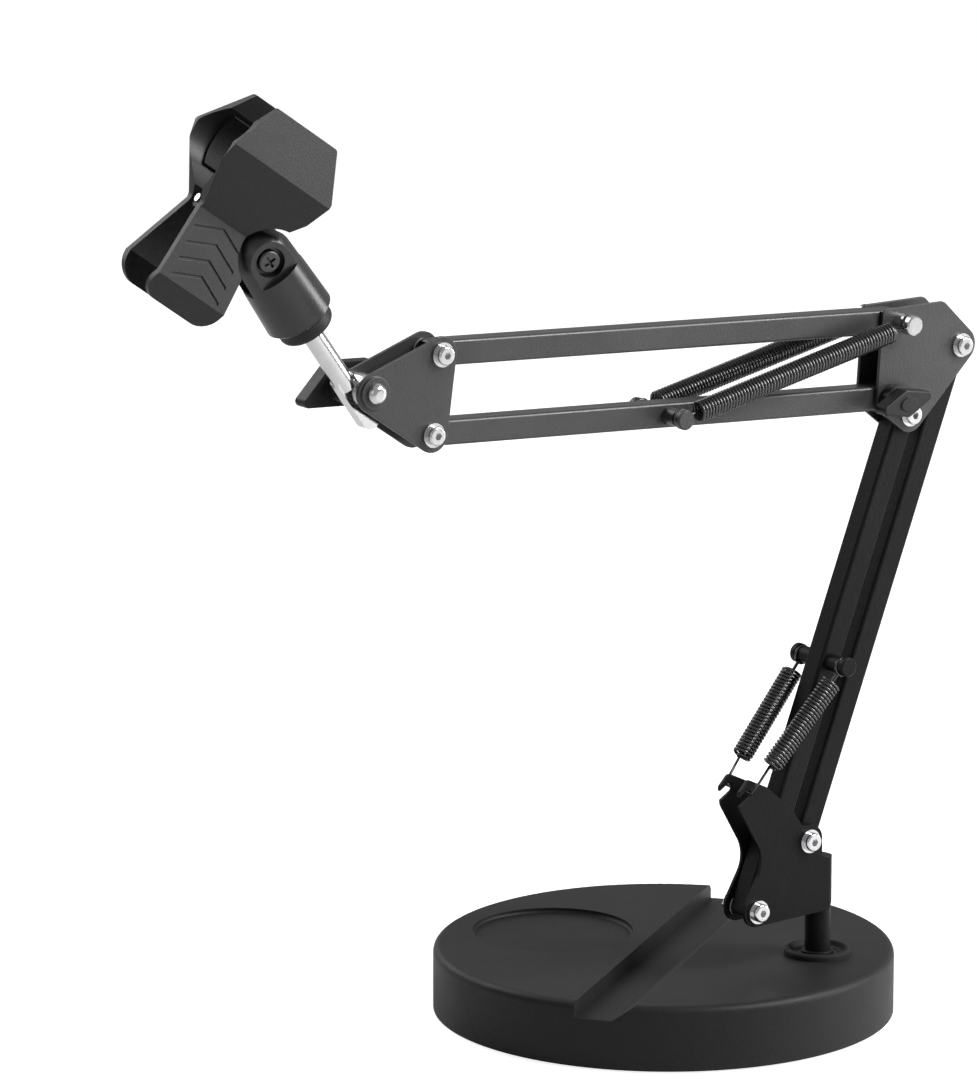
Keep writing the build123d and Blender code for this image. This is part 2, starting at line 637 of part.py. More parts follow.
def swivel_barrel():
    """A round barrel with a domed top, two flats and a fork for the clip's lug."""
    foot = BARREL_FOOT_AT - ROD_TO_SCREW
    body = Pos(0, 0, foot) * Cone(
        BARREL_FOOT_R, BARREL_R, -foot, align=(Align.CENTER, Align.CENTER, Align.MIN))
    body = chamfer(body.edges().group_by(Axis.Z)[0], 1.5)
    body = body + Sphere(BARREL_R)
    flats = Pos(0, 0, -10) * Box(3 * BARREL_R, 2 * BARREL_FLAT, 2 * BARREL_R + 20)
    lower = Pos(0, 0, foot - 1) * Box(
        4 * BARREL_R, 4 * BARREL_R, -foot - 6, align=(Align.CENTER, Align.CENTER, Align.MIN))
    body = body & (flats + lower)
    fork = Pos(0, 0, -FORK_DEPTH) * Box(
        4 * BARREL_R, FORK_GAP, 4 * BARREL_R, align=(Align.CENTER, Align.CENTER, Align.MIN))
    body = body - fork
    body = body - disc(ORIGIN, TILT_BOLT_R + RUNNING_CLEARANCE, -BARREL_R, BARREL_R)
    body = body - disc(ORIGIN, RECESS_R, -BARREL_R, -BARREL_FLAT + RECESS_DEPTH)
    body = body - hexagon(ORIGIN, NUT_AF + 1.0, BARREL_FLAT - RECESS_DEPTH, BARREL_R)
    insert = Pos(0, 0, foot - 1) * Cylinder(
        INSERT_R, INSERT_L + 1, align=(Align.CENTER, Align.CENTER, Align.MIN))
    return body - insert


def thread_insert():
    foot = BARREL_FOOT_AT - ROD_TO_SCREW
    body = Pos(0, 0, foot) * Cylinder(
        INSERT_R - NUT_PLAY, INSERT_L, align=(Align.CENTER, Align.CENTER, Align.MIN))
    return body - Pos(0, 0, foot - 1) * Cylinder(
        ROD_R + RUNNING_CLEARANCE, INSERT_L + 2, align=(Align.CENTER, Align.CENTER, Align.MIN))


def tilt_screw():
    seat = -BARREL_FLAT + RECESS_DEPTH
    head = disc(ORIGIN, TILT_HEAD_R, seat - 2.4, seat)
    head = fillet(head.edges().group_by(Axis.Y)[0], 0.9)
    screw = head + disc(ORIGIN, TILT_BOLT_R, seat - 0.5, BARREL_FLAT - 0.4)
    for turn in (0, 90):
        screw = screw - Pos(0, seat - 2.2, 0) * Rot(0, turn, 0) * Box(4.6, 2.4, 1.0)
    return screw


def tilt_nut():
    seat = BARREL_FLAT - RECESS_DEPTH
    nut = hexagon(ORIGIN, NUT_AF + 0.8, seat, seat + 2.5)
    return nut - disc(ORIGIN, TILT_BOLT_R + NUT_PLAY, seat - 1, seat + 3)


def clip_side_outline():
    """The clip seen square on: jaws that widen to a hexagon, a waist, and a leaning handle."""
    mid = JAW_LENGTH_AT
    low = mid + HANDLE_LEAN
    return outline([
        (mid - JAW_TOP_LEFT, JAW_TOP, 1.5), (mid + JAW_TOP_RIGHT, JAW_TOP, 1.5),
        (mid + JAW_HALF, MIC_HEIGHT + 3.0, 1.0), (mid + JAW_HALF - 1.5, MIC_HEIGHT - 8.0, 3.0),
        (mid + WAIST_HALF, HINGE_HEIGHT - 0.5, 3.0), (low + HANDLE_HALF, HANDLE_END, 7.0),
        (low - HANDLE_HALF, HANDLE_END, 7.0), (mid - WAIST_HALF, HINGE_HEIGHT - 0.5, 4.0),
        (mid - JAW_HALF + 0.5, MIC_HEIGHT - 5.0, 4.0), (mid - JAW_HALF, MIC_HEIGHT + 2.0, 3.0)])


def half_section():
    """Section of the back half, in (y, z): a flat-faced jaw, the waist and the handle."""
    jaw_r = MIC_R + PAD_WALL
    upper, lower = radians(50), radians(-52)
    bend = HANDLE_END + HANDLE_BEND
    inner_waist = WAIST_N - CLIP_SHEET
    outer = Polyline(
        (TIP_N - CLIP_SHEET, JAW_TOP), (TIP_N, JAW_TOP), (WIDE_N, MIC_HEIGHT + 1.5),
        (WAIST_N, HINGE_HEIGHT - 2.0), (HANDLE_N, bend), (TOE_N, HANDLE_END),
        (TOE_N - CLIP_SHEET, HANDLE_END), (HANDLE_N - CLIP_SHEET - 0.4, bend + 0.6),
        (inner_waist, HINGE_HEIGHT - 3.0), (inner_waist, HINGE_HEIGHT + 3.5),
        (jaw_r * cos(lower), MIC_HEIGHT + jaw_r * sin(lower)))
    arc = CenterArc((0, MIC_HEIGHT), jaw_r, degrees(lower), degrees(upper - lower))
    closing = Line(arc @ 1, (TIP_N - CLIP_SHEET, JAW_TOP))
    return make_face([outer, arc, closing])


def handle_grooves():
    """Chevron grooves across the handle's outer face, as solids to cut away."""
    lean = HANDLE_LEAN_BACK
    middle = JAW_LENGTH_AT + HANDLE_LEAN * 0.7
    face = Plane(origin=(middle, WAIST_N, HINGE_HEIGHT - 2.0), x_dir=(1, 0, 0),
                 z_dir=(0, cos(lean), sin(lean)))
    grooves = []
    for number in range(GROOVES):
        point = GROOVE_FIRST + number * GROOVE_PITCH
        strip = Polyline(
            (-GROOVE_HALF, point + GROOVE_DROP), (GROOVE_KNEE, point), (GROOVE_HALF, point + GROOVE_DROP),
            (GROOVE_HALF, point + GROOVE_DROP + GROOVE_W), (GROOVE_KNEE, point + GROOVE_W),
            (-GROOVE_HALF, point + GROOVE_DROP + GROOVE_W), close=True)
        grooves.append(extrude(make_face(strip), GROOVE_DEPTH, both=True))
    return face.location * group(grooves)


def clip_half(side, knuckles):
    """One half of the clip: side is +1 for the back and -1 for the front."""
    section = Plane.YZ * half_section()
    length = 2 * JAW_HALF + 10
    sheet = Pos(JAW_LENGTH_AT - length / 2, 0, 0) * extrude(section, length)
    half = sheet & upright(clip_side_outline(), -1, HANDLE_N + WIDE_N)
    for groove in handle_grooves().solids():
        half = half - groove
    half = half - disc(ORIGIN, BARREL_R + RELIEF_PLAY, -1, HANDLE_N + WIDE_N)
    for low, high in knuckles:
        barrel = Pos((low + high) / 2, 0, HINGE_HEIGHT) * Rot(0, 90, 0) * Cylinder(KNUCKLE_R, high - low)
        web = Pos((low + high) / 2, WAIST_N / 2 - 0.6, HINGE_HEIGHT) * Box(high - low, WAIST_N - 1.4, 3.4)
        half = half + barrel + web
    half = half - Pos(JAW_LENGTH_AT, 0, HINGE_HEIGHT) * Rot(0, 90, 0) * Cylinder(
        HINGE_PIN_R + RUNNING_CLEARANCE, 80)
    return half if side > 0 else mirrored(half)


def knuckle_span(first, last=None):
    last = first if last is None else last
    return (WAIST_LEFT + first * KNUCKLE_L + KNUCKLE_GAP / 2,
            WAIST_LEFT + (last + 1) * KNUCKLE_L - KNUCKLE_GAP / 2)


def clip_back_half():
    """The fixed half, with the lug that the barrel's fork holds."""
    half = clip_half(1, [knuckle_span(0), knuckle_span(4)])
    start, end = knuckle_span(4)
    reach = 0.0 - start - 2.0
    neck_height = 2 * KNUCKLE_R
    neck = Pos(start + 0.4 + reach / 2, 0, HINGE_HEIGHT - 0.6) * Box(reach, LUG_NECK_T, neck_height)
    lug = disc(ORIGIN, LUG_R, -LUG_T / 2, LUG_T / 2)
    half = half + neck + lug
    half = half - disc(ORIGIN, TILT_BOLT_R + RUNNING_CLEARANCE, -LUG_T, LUG_T)
    pin_hole = Pos(JAW_LENGTH_AT - 4.0, 0, HINGE_HEIGHT) * Rot(0, 90, 0) * Cylinder(
        HINGE_PIN_R + RUNNING_CLEARANCE, 2 * (-JAW_LENGTH_AT + 4.0 - BARREL_R + 1.6))
    return half - pin_hole


def clip_front_half():
    return clip_half(-1, [knuckle_span(1), knuckle_span(3)])


def hinge_pin():
    left, right = WAIST_LEFT - 0.6, -BARREL_R + 1.2
    return Pos((left + right) / 2, 0, HINGE_HEIGHT) * Rot(0, 90, 0) * Cylinder(HINGE_PIN_R, right - left)


def clip_spring():
    """The torsion spring in the middle gap of the knuckles, a leg along each handle."""
    low, high = knuckle_span(2)
    middle = (low + high) / 2
    coil_part = Pos(middle, 0, HINGE_HEIGHT) * Rot(0, 90, 0) * (
        Cylinder(KNUCKLE_R, high - low - 0.6) - Cylinder(HINGE_PIN_R + 0.3, 2 * KNUCKLE_R))
    handle_foot = HINGE_HEIGHT - 3.0
    flare = HANDLE_LEAN_BACK
    inset = (LEG_R + 0.15) / cos(flare)
    for side in (-1, 1):
        leg = Pos(0, 0, 1.5 - LEG_L / 2) * Cylinder(LEG_R, LEG_L)
        place = Pos(middle + side * 1.2, side * (WAIST_N - CLIP_SHEET - inset), handle_foot)
        coil_part = coil_part + place * Rot(side * degrees(flare), 0, 0) * leg
    return coil_part


def jaw_pad(side):
    length = 2 * WAIST_HALF
    arc = Plane.YZ * make_face([
        CenterArc((0, MIC_HEIGHT), MIC_R + PAD_WALL - NUT_PLAY, -45, 88),
        Line(*[(r * cos(radians(43)), MIC_HEIGHT + r * sin(radians(43)))
               for r in (MIC_R + PAD_WALL - NUT_PLAY, MIC_R)]),
        CenterArc((0, MIC_HEIGHT), MIC_R, -45, 88),
        Line(*[(r * cos(radians(-45)), MIC_HEIGHT + r * sin(radians(-45)))
               for r in (MIC_R + PAD_WALL - NUT_PLAY, MIC_R)])])
    pad = Pos(JAW_LENGTH_AT - length / 2, 0, 0) * extrude(arc, length)
    return pad if side > 0 else mirrored(pad)


# ---------------------------------------------------------------- springs, arm frame
def rod_between(start, finish, radius, hollow=0.0):
    start, finish = Vector(*start), Vector(*finish)
    line = finish - start
    place = Plane(origin=start, z_dir=line).location
    bar = Cylinder(radius, line.length, align=(Align.CENTER, Align.CENTER, Align.MIN))
    if hollow:
        bar = bar - Cylinder(hollow, 3 * line.length)
    return place * bar


def hook_loop(pin, coil_end, reach):
    """A wire loop pulled against a pin, with a straight wire that reaches past the coil's end."""
    unit = (coil_end - pin).normalized()
    centre = pin + unit * (HOOK_R - WIRE_R - PIN_R - HOOK_SEAT)
    loop = Pos(*centre) * Rot(90, 0, 0) * Torus(HOOK_R, WIRE_R)
    return loop + rod_between(centre + unit * HOOK_R, coil_end + unit * reach, WIRE_R)


def notch_hook(turn, coil_end, side):
    """A wire that runs down to the bracket's notch and turns in through the plate."""
    inner = Vector(turn.X, side * (PLATE_IN - 1.2), turn.Z)
    unit = (coil_end - turn).normalized()
    wire = rod_between(turn, coil_end + unit * COIL_CAP_T / 2, WIRE_R)
    return wire + rod_between(inner, turn, WIRE_R) + Pos(*turn) * Sphere(WIRE_R)


def coil(start, finish):
    """Close-wound turns as a tube, its first turn drawn in to meet the hook's wire."""
    unit = (finish - start).normalized()
    bore = rod_between(start + unit * COIL_CAP_T, finish + unit, COIL_R - COIL_WALL)
    return rod_between(start, finish, COIL_R) - bore


def spring_pieces(hook, pin, hook_inset, pin_inset):
    """Where a spring's parts begin and end: hook, first turn, last turns, coil's end and pin."""
    hook, pin = Vector(*hook), Vector(*pin)
    unit = (pin - hook).normalized()
    coil_end = pin - unit * pin_inset
    return hook, hook + unit * hook_inset, coil_end - unit * END_TURNS_L, coil_end, pin


def end_turns(last_turns, coil_end):
    return rod_between(last_turns, coil_end, COIL_R, COIL_R - END_TURNS_WALL)


def upper_spring(side):
    """One upper spring as its coil with the fixed hook, its last turns, and the hook on the tube."""
    y = side * SPRING_Y
    hook, first, last, end, pin = spring_pieces(
        (SPRING_POST[0], y, SPRING_POST[1]), (UPPER_PIN[0], y, UPPER_PIN[1]),
        UPPER_COIL_INSET, UPPER_COIL_INSET)
    fixed = coil(first, last) + hook_loop(hook, first, COIL_CAP_T / 2)
    return fixed, end_turns(last, end), hook_loop(pin, end, END_TURNS_L)


def lower_spring(side):
    """One lower spring, in the same three parts, from the bracket's notch to the tube's pin."""
    hook, first, last, end, pin = spring_pieces(
        (LOWER_HOOK[0], side * LOWER_HOOK_Y, LOWER_HOOK[1]),
        (LOWER_PIN[0], side * SPRING_Y, LOWER_PIN[1]),
        LOWER_COIL_FOOT_INSET, LOWER_COIL_TOP_INSET)
    fixed = coil(first, last) + notch_hook(hook, first, side)
    return fixed, end_turns(last, end), hook_loop(pin, end, END_TURNS_L)


# ---------------------------------------------------------------- assembly
def build_all():
    """Every node by name. Arm pieces are turned from the arm's frame into the row frame."""
    nodes = {
        "base_shell": base_shell(),
        "base_weight": base_weight(),
        "bottom_plate": bottom_plate(),
        "foot_pad": foot_pad(),
        "base_screws": group(base_screw(x, y) for x, y in screw_places()),
        "post_grommet": post_grommet(),
        "bearing_sleeve": bearing_sleeve(),
    }
    foot_pivots = (FOOT_PIVOT, FOOT_SECOND)
    elbow_bolts = (ELBOW_PIVOT, ELBOW_SECOND)
    elbow_pivots = (SPRING_POST, ELBOW_PIVOT, ELBOW_SECOND, UPPER_PIVOT)
    tip_pivots = (TIP_UPPER, TIP_LOWER)
    bracket_front, bracket_back = front_and_back(bracket_outline())
    elbow_front, elbow_back = front_and_back(elbow_outline())
    tip_front, tip_back = front_and_back(tip_outline())
    arm = {
        "post_rod": post_rod(),
        "post_collar": post_collar(),
        "post_block": post_block(),
        "bracket_front_plate": bracket_front,
        "bracket_back_plate": bracket_back,
        "bracket_bolts": group(hex_bolt(p) for p in foot_pivots),
        "bracket_washers": group(w for p in foot_pivots for w in washers(p)),
        "bracket_nuts": group(hex_nut(p) for p in foot_pivots),
        "bracket_slip_washers": group(w for p in foot_pivots for w in slip_washers(p)),
        "lower_right_tube": link_tube(FOOT_PIVOT, ELBOW_PIVOT),
        "lower_left_tube": link_tube(FOOT_SECOND, ELBOW_SECOND, OPEN_PIVOT_PLAY, LOWER_PIN),
        "lower_spring_pin": spring_pin(LOWER_PIN),
        "elbow_front_plate": elbow_front,
        "elbow_back_plate": elbow_back,
        "elbow_bolts": group(hex_bolt(p) for p in elbow_bolts),
        "elbow_washers": group(w for p in (*elbow_bolts, UPPER_PIVOT) for w in washers(p)),
        "elbow_nuts": group(hex_nut(p) for p in elbow_bolts),
        "elbow_slip_washers": group(w for p in elbow_pivots for w in slip_washers(p)),
        "spring_post": spring_post(),
        "elbow_knob": elbow_knob(),
        "elbow_knob_bolt": elbow_knob_bolt(),
        "elbow_knob_nut": elbow_knob_nut(),
        "upper_bottom_tube": link_tube(UPPER_PIVOT, TIP_LOWER, 0.0, UPPER_PIN),
        "upper_top_tube": link_tube(SPRING_POST, TIP_UPPER, OPEN_PIVOT_PLAY),
        "upper_spring_pin": spring_pin(UPPER_PIN),
        "tip_front_plate": tip_front + tip_dome_seat(),
        "tip_back_plate": tip_back,
        "tip_bolts": group(hex_bolt(p) for p in tip_pivots),
        "tip_washers": group(w for p in tip_pivots for w in washers(p)),
        "tip_nuts": group(hex_nut(p) for p in tip_pivots),
        "tip_slip_washers": group(w for p in tip_pivots for w in slip_washers(p)),
        "tip_clamp_bolt": tip_clamp_bolt(),
        "tip_lock_nut": tip_lock_nut(),
        "tip_wing_knob": tip_wing_knob(),
        "swivel_rod": swivel_rod(),
        "rod_spacers": rod_spacers(),
        "lock_ring": lock_ring(),
        "swivel_barrel": BARREL_PLACE * swivel_barrel(),
        "thread_insert": BARREL_PLACE * thread_insert(),
        "tilt_screw": BARREL_PLACE * tilt_screw(),
        "tilt_nut": BARREL_PLACE * tilt_nut(),
        "clip_back_half": CLIP_PLACE * clip_back_half(),
        "clip_front_half": CLIP_PLACE * clip_front_half(),
        "hinge_pin": CLIP_PLACE * hinge_pin(),
        "clip_spring": CLIP_PLACE * clip_spring(),
        "jaw_pad_back": CLIP_PLACE * jaw_pad(1),
        "jaw_pad_front": CLIP_PLACE * jaw_pad(-1),
    }
    for name, maker in (("upper_spring", upper_spring), ("lower_spring", lower_spring)):
        front_and_back_spring = [maker(side) for side in (-1, 1)]
        for ending, parts in zip(("s", "_end_turns", "_hooks"), zip(*front_and_back_spring)):
            arm[name + ending] = group(parts)
    place = Pos(POST_X, POST_Y, 0) * Rot(0, 0, ARM_SWIVEL)
    for name, shape in arm.items():
        nodes[name] = place * shape
    return nodes


if __name__ == "__main__":
    for name, shape in build_all().items():
        export_step(shape, f"parts/{name}.step")
        print(name, len(shape.solids()), round(shape.volume, 1))
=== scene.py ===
# %% [markdown]
# # A desk stand for a microphone
# The stand is a heavy round base, a post that turns in it, two arms made of square tubes,
# four counterbalance springs and a tilting clip. The measured model is loaded first. Every
# piece made here lands in the same place, and the rounded copies move with the part that they belong to.

# %% Load the measured model
import bpy
import bmesh
import json
import math
from mathutils import Matrix, Vector

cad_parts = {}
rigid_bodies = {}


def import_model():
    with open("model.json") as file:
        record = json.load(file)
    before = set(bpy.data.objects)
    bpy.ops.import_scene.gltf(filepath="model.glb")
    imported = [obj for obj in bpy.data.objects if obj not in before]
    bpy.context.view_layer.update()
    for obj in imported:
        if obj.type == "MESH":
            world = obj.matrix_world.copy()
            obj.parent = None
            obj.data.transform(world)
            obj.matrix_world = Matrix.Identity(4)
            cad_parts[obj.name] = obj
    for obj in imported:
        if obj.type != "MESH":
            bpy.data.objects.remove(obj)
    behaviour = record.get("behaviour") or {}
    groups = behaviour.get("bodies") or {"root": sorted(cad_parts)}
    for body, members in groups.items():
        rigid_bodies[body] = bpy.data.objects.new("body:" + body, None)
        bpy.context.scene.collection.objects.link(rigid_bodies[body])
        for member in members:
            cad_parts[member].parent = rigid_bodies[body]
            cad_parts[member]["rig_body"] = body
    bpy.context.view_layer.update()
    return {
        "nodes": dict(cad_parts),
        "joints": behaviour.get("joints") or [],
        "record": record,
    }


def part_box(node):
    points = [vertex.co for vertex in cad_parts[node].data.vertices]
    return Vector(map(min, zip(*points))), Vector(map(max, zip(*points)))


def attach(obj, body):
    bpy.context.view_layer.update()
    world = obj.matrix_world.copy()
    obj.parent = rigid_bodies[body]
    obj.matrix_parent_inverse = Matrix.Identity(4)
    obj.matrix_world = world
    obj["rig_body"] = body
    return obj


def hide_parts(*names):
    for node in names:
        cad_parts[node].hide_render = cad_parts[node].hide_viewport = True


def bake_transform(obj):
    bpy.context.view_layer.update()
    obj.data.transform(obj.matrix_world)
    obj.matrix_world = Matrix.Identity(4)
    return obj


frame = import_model()
MM = 0.001

# %% [markdown]
# ## The arm's own directions
# The arm leans in one upright plane that turns with the post. It is easier to place the
# camera, the lamps and the springs in that plane than in the table's directions, so the plane
# is read once from the joints: the post's joint gives its place, and the lower arm's pivot
# points out of its front.

# %% The arm's plane
joints = {joint["name"]: joint for joint in frame["joints"]}
post = joints["arm_swivel"]["pos_m"]
front = Vector(joints["lower_tilt"]["axis"])
ACROSS = -front
ALONG = ACROSS.cross(Vector((0, 0, 1)))
ARM = Matrix.Translation((post[0], post[1], 0)) @ Matrix((ALONG, ACROSS, (0, 0, 1))).transposed().to_4x4()


def at(x, y, z):
    """A point of the arm's plane, given in millimetres: along it, to its back, and up."""
    return ARM @ (Vector((x, y, z)) * MM)


def in_arm(point):
    """The same three measures, in millimetres, of a point of the model."""
    return ARM.inverted() @ Vector(point) / MM


print("post", [round(v, 4) for v in post], "along", [round(v, 3) for v in ALONG])

# %% [markdown]
# ## The camera
# The stand is seen a little from above and from its front left, through a long lens, so that
# its parallel tubes stay nearly parallel. The long side of the picture takes the sensor's
# width. A camera looks along its own -Z, so its rotation comes from the line to its target.

# %% Camera
EYE = at(-1649.40, -2052.89, 777.77)
TARGET = at(-157.889, 0, 211.164)
camera_data = bpy.data.cameras.new("long_lens")
camera_data.sensor_width = 36
camera_data.lens = 234.33
camera_data.clip_end = 50
camera = bpy.data.objects.new("camera", camera_data)
camera.location = EYE
camera.rotation_euler = (TARGET - EYE).to_track_quat("-Z", "Y").to_euler()
bpy.context.scene.collection.objects.link(camera)
bpy.context.scene.camera = camera
print("camera", [round(v, 3) for v in EYE])

# %% [markdown]
# ## Floor, surroundings and lamps
# A plain studio is one pale floor that keeps the shadow, a pale surrounding that the camera
# and the bright metal see, and large soft lamps. Dark plastic shows its shape by what its
# faces reflect, so the main lamp is large, and stands high at the front right. A weak one at
# the left opens the shadows.

# %% Who sees the pale background
MIRROR_SHARE = 0.3


def seen_share(tree):
    """1 for what the camera sees straight on, a smaller share for mirrored and refracted views."""
    path = tree.nodes.new("ShaderNodeLightPath")
    mirrored = tree.nodes.new("ShaderNodeMath")
    mirrored.operation = "MAXIMUM"
    share = tree.nodes.new("ShaderNodeMath")
    share.operation = "MULTIPLY"
    share.inputs[1].default_value = MIRROR_SHARE
    total = tree.nodes.new("ShaderNodeMath")
    total.operation = "MAXIMUM"
    tree.links.new(path.outputs["Is Glossy Ray"], mirrored.inputs[0])
    tree.links.new(path.outputs["Is Transmission Ray"], mirrored.inputs[1])
    tree.links.new(mirrored.outputs[0], share.inputs[0])
    tree.links.new(path.outputs["Is Camera Ray"], total.inputs[0])
    tree.links.new(share.outputs[0], total.inputs[1])
    return total.outputs[0]


print("mirrored views see", MIRROR_SHARE)

# %% Surroundings
scene = bpy.context.scene
scene.view_settings.view_transform = "Standard"
ROOM_LIGHT = 0.12
world = bpy.data.worlds.new("studio")
scene.world = world
world.use_nodes = True
tree = world.node_tree
tree.nodes.clear()
air = tree.nodes.new("ShaderNodeBackground")
air.inputs["Color"].default_value = (1, 1, 1, 1)
out = tree.nodes.new("ShaderNodeOutputWorld")
strength = tree.nodes.new("ShaderNodeMapRange")
strength.inputs["To Min"].default_value = ROOM_LIGHT
strength.inputs["To Max"].default_value = 1.0
tree.links.new(seen_share(tree), strength.inputs["Value"])
tree.links.new(strength.outputs["Result"], air.inputs["Strength"])
tree.links.new(air.outputs[0], out.inputs["Surface"])
print("room light", ROOM_LIGHT)

# %% Floor
FLOOR_HALF = 3.0
FLOOR_COLOUR = (0.6, 0.6, 0.6, 1)
bm = bmesh.new()
bmesh.ops.create_grid(bm, x_segments=2, y_segments=2, size=FLOOR_HALF)
floor_mesh = bpy.data.meshes.new("floor")
bm.to_mesh(floor_mesh)
bm.free()
floor = bpy.data.objects.new("floor", floor_mesh)
scene.collection.objects.link(floor)
pale = bpy.data.materials.new("pale_floor")
pale.use_nodes = True
FLOOR_ROUGHNESS = 0.7
nodes, links = pale.node_tree.nodes, pale.node_tree.links
matt = nodes["Principled BSDF"]
matt.inputs["Base Color"].default_value = FLOOR_COLOUR
matt.inputs["Roughness"].default_value = FLOOR_ROUGHNESS
glow = nodes.new("ShaderNodeEmission")
glow.inputs["Color"].default_value = (1, 1, 1, 1)
FLOOR_GLOW = 0.86
glow.inputs["Strength"].default_value = FLOOR_GLOW
both = nodes.new("ShaderNodeAddShader")
choose = nodes.new("ShaderNodeMixShader")
links.new(seen_share(pale.node_tree), choose.inputs["Fac"])
links.new(matt.outputs[0], both.inputs[0])
links.new(glow.outputs[0], both.inputs[1])
links.new(matt.outputs[0], choose.inputs[1])
links.new(both.outputs[0], choose.inputs[2])
links.new(choose.outputs[0], nodes["Material Output"].inputs["Surface"])
floor_mesh.materials.append(pale)
print("floor", 2 * FLOOR_HALF, "m")

# %% Lamps
LAMPS = {
    "key_lamp": ((700, -900, 1150), (-80, 0, 190), 0.7, 34.0),
    "side_lamp": ((1300, -700, 350), (-150, 0, 260), 0.5, 9.0),
    "fill_lamp": ((-1700, -900, 900), (-100, 0, 180), 0.9, 1.5),
    "back_lamp": ((-300, 1300, 900), (-100, 0, 200), 0.9, 8.0),
}
for name, (place, aim, size, power) in LAMPS.items():
    lamp_data = bpy.data.lights.new(name, "AREA")
    lamp_data.size = size
    lamp_data.energy = power
    lamp = bpy.data.objects.new(name, lamp_data)
    lamp.location = at(*place)
    lamp.rotation_euler = (at(*aim) - at(*place)).to_track_quat("-Z", "Y").to_euler()
    scene.collection.objects.link(lamp)
    print(name, power, "W")

# %% [markdown]
# ## Surface effects that several finishes share
# Moulded plastic, powder coat and rubber all have a fine skin and slow patches where they are
# a little more or less shiny. Handled parts also have faint rubbed marks. Each effect is one
# node group with its own sizes, so that every material can use it with different values. The
# patterns read Object coordinates, which are metres here, so a scale of 1000 is one
# feature for each millimetre.


# %% A helper that makes node groups
def new_group(name, inputs, outputs):
    """An empty shader group with float inputs that have defaults, and float outputs."""
    group = bpy.data.node_groups.new(name, "ShaderNodeTree")
    for label, value in inputs.items():
        socket = group.interface.new_socket(label, in_out="INPUT", socket_type="NodeSocketFloat")
        socket.default_value = value
    for label in outputs:
        group.interface.new_socket(label, in_out="OUTPUT", socket_type="NodeSocketFloat")
    entry = group.nodes.new("NodeGroupInput")
    leave = group.nodes.new("NodeGroupOutput")
    return group, entry, leave


def noise(tree, detail, roughness=0.5, stretch=None):
    """A noise texture on Object coordinates, stretched along one direction if that is given."""
    place = tree.nodes.new("ShaderNodeTexCoord")
    texture = tree.nodes.new("ShaderNodeTexNoise")
    texture.inputs["Detail"].default_value = detail
    texture.inputs["Roughness"].default_value = roughness
    source = place.outputs["Object"]
    if stretch:
        mapping = tree.nodes.new("ShaderNodeMapping")
        mapping.inputs["Scale"].default_value = stretch
        tree.links.new(source, mapping.inputs["Vector"])
        source = mapping.outputs["Vector"]
    tree.links.new(source, texture.inputs["Vector"])
    return texture


def spread(tree, source, low, high, to_low, to_high):
    """Map a value's range onto another, clamped; the two targets may be numbers or sockets."""
    node = tree.nodes.new("ShaderNodeMapRange")
    node.inputs["From Min"].default_value = low
    node.inputs["From Max"].default_value = high
    for label, value in (("To Min", to_low), ("To Max", to_high)):
        if isinstance(value, (int, float)):
            node.inputs[label].default_value = value
        else:
            tree.links.new(value, node.inputs[label])
    tree.links.new(source, node.inputs["Value"])
    return node.outputs["Result"]


# %% Skin: a fine grain and slow patches
PATCH_EDGES = (0.35, 0.65)
skin, entry, leave = new_group(
    "surface_skin", {"Grain Scale": 1600, "Patch Scale": 25, "Rough Low": 0.45, "Rough High": 0.6},
    ("Height", "Patch", "Roughness"))
grain = noise(skin, 3)
patch = noise(skin, 4, 0.6)
skin.links.new(entry.outputs["Grain Scale"], grain.inputs["Scale"])
skin.links.new(entry.outputs["Patch Scale"], patch.inputs["Scale"])
skin.links.new(grain.outputs["Fac"], leave.inputs["Height"])
skin.links.new(spread(skin, patch.outputs["Fac"], *PATCH_EDGES, 0.0, 1.0), leave.inputs["Patch"])
rough = spread(skin, patch.outputs["Fac"], *PATCH_EDGES, entry.outputs["Rough Low"],
               entry.outputs["Rough High"])
skin.links.new(rough, leave.inputs["Roughness"])
print("group", skin.name)

# %% Handling marks: rubbed spots and fine hairlines
SPOT_EDGES = (0.58, 0.72)
HAIR_EDGES = (0.66, 0.72)
HAIR_STRETCH = (1.0, 14.0, 6.0)
HAIR_SCALE = 90
HAIR_SHARE = 0.6
marks, entry, leave = new_group("handling_marks", {"Spot Scale": 60, "Amount": 0.5}, ("Mask",))
spots = noise(marks, 6, 0.7)
hairs = noise(marks, 2, 0.5, HAIR_STRETCH)
hairs.inputs["Scale"].default_value = HAIR_SCALE
marks.links.new(entry.outputs["Spot Scale"], spots.inputs["Scale"])
spot_mask = spread(marks, spots.outputs["Fac"], *SPOT_EDGES, 0.0, 1.0)
hair_mask = spread(marks, hairs.outputs["Fac"], *HAIR_EDGES, 0.0, HAIR_SHARE)
larger = marks.nodes.new("ShaderNodeMath")
larger.operation = "MAXIMUM"
scaled = marks.nodes.new("ShaderNodeMath")
scaled.operation = "MULTIPLY"
marks.links.new(spot_mask, larger.inputs[0])
marks.links.new(hair_mask, larger.inputs[1])
marks.links.new(larger.outputs[0], scaled.inputs[0])
marks.links.new(entry.outputs["Amount"], scaled.inputs[1])
marks.links.new(scaled.outputs[0], leave.inputs["Mask"])
print("group", marks.name)

# %% [markdown]
# ## Finishes
# Every finish is a Principled surface with the two effects. What tells them apart is the base
# colour, how rough they are, how coarse the skin is, and how strongly marks show. Values that
# don't vary, such as metalness or coat, are typed on the shader itself.


# %% The finish maker
PATCH_PULL = 0.45
RELIEF_DEPTH = 0.0002


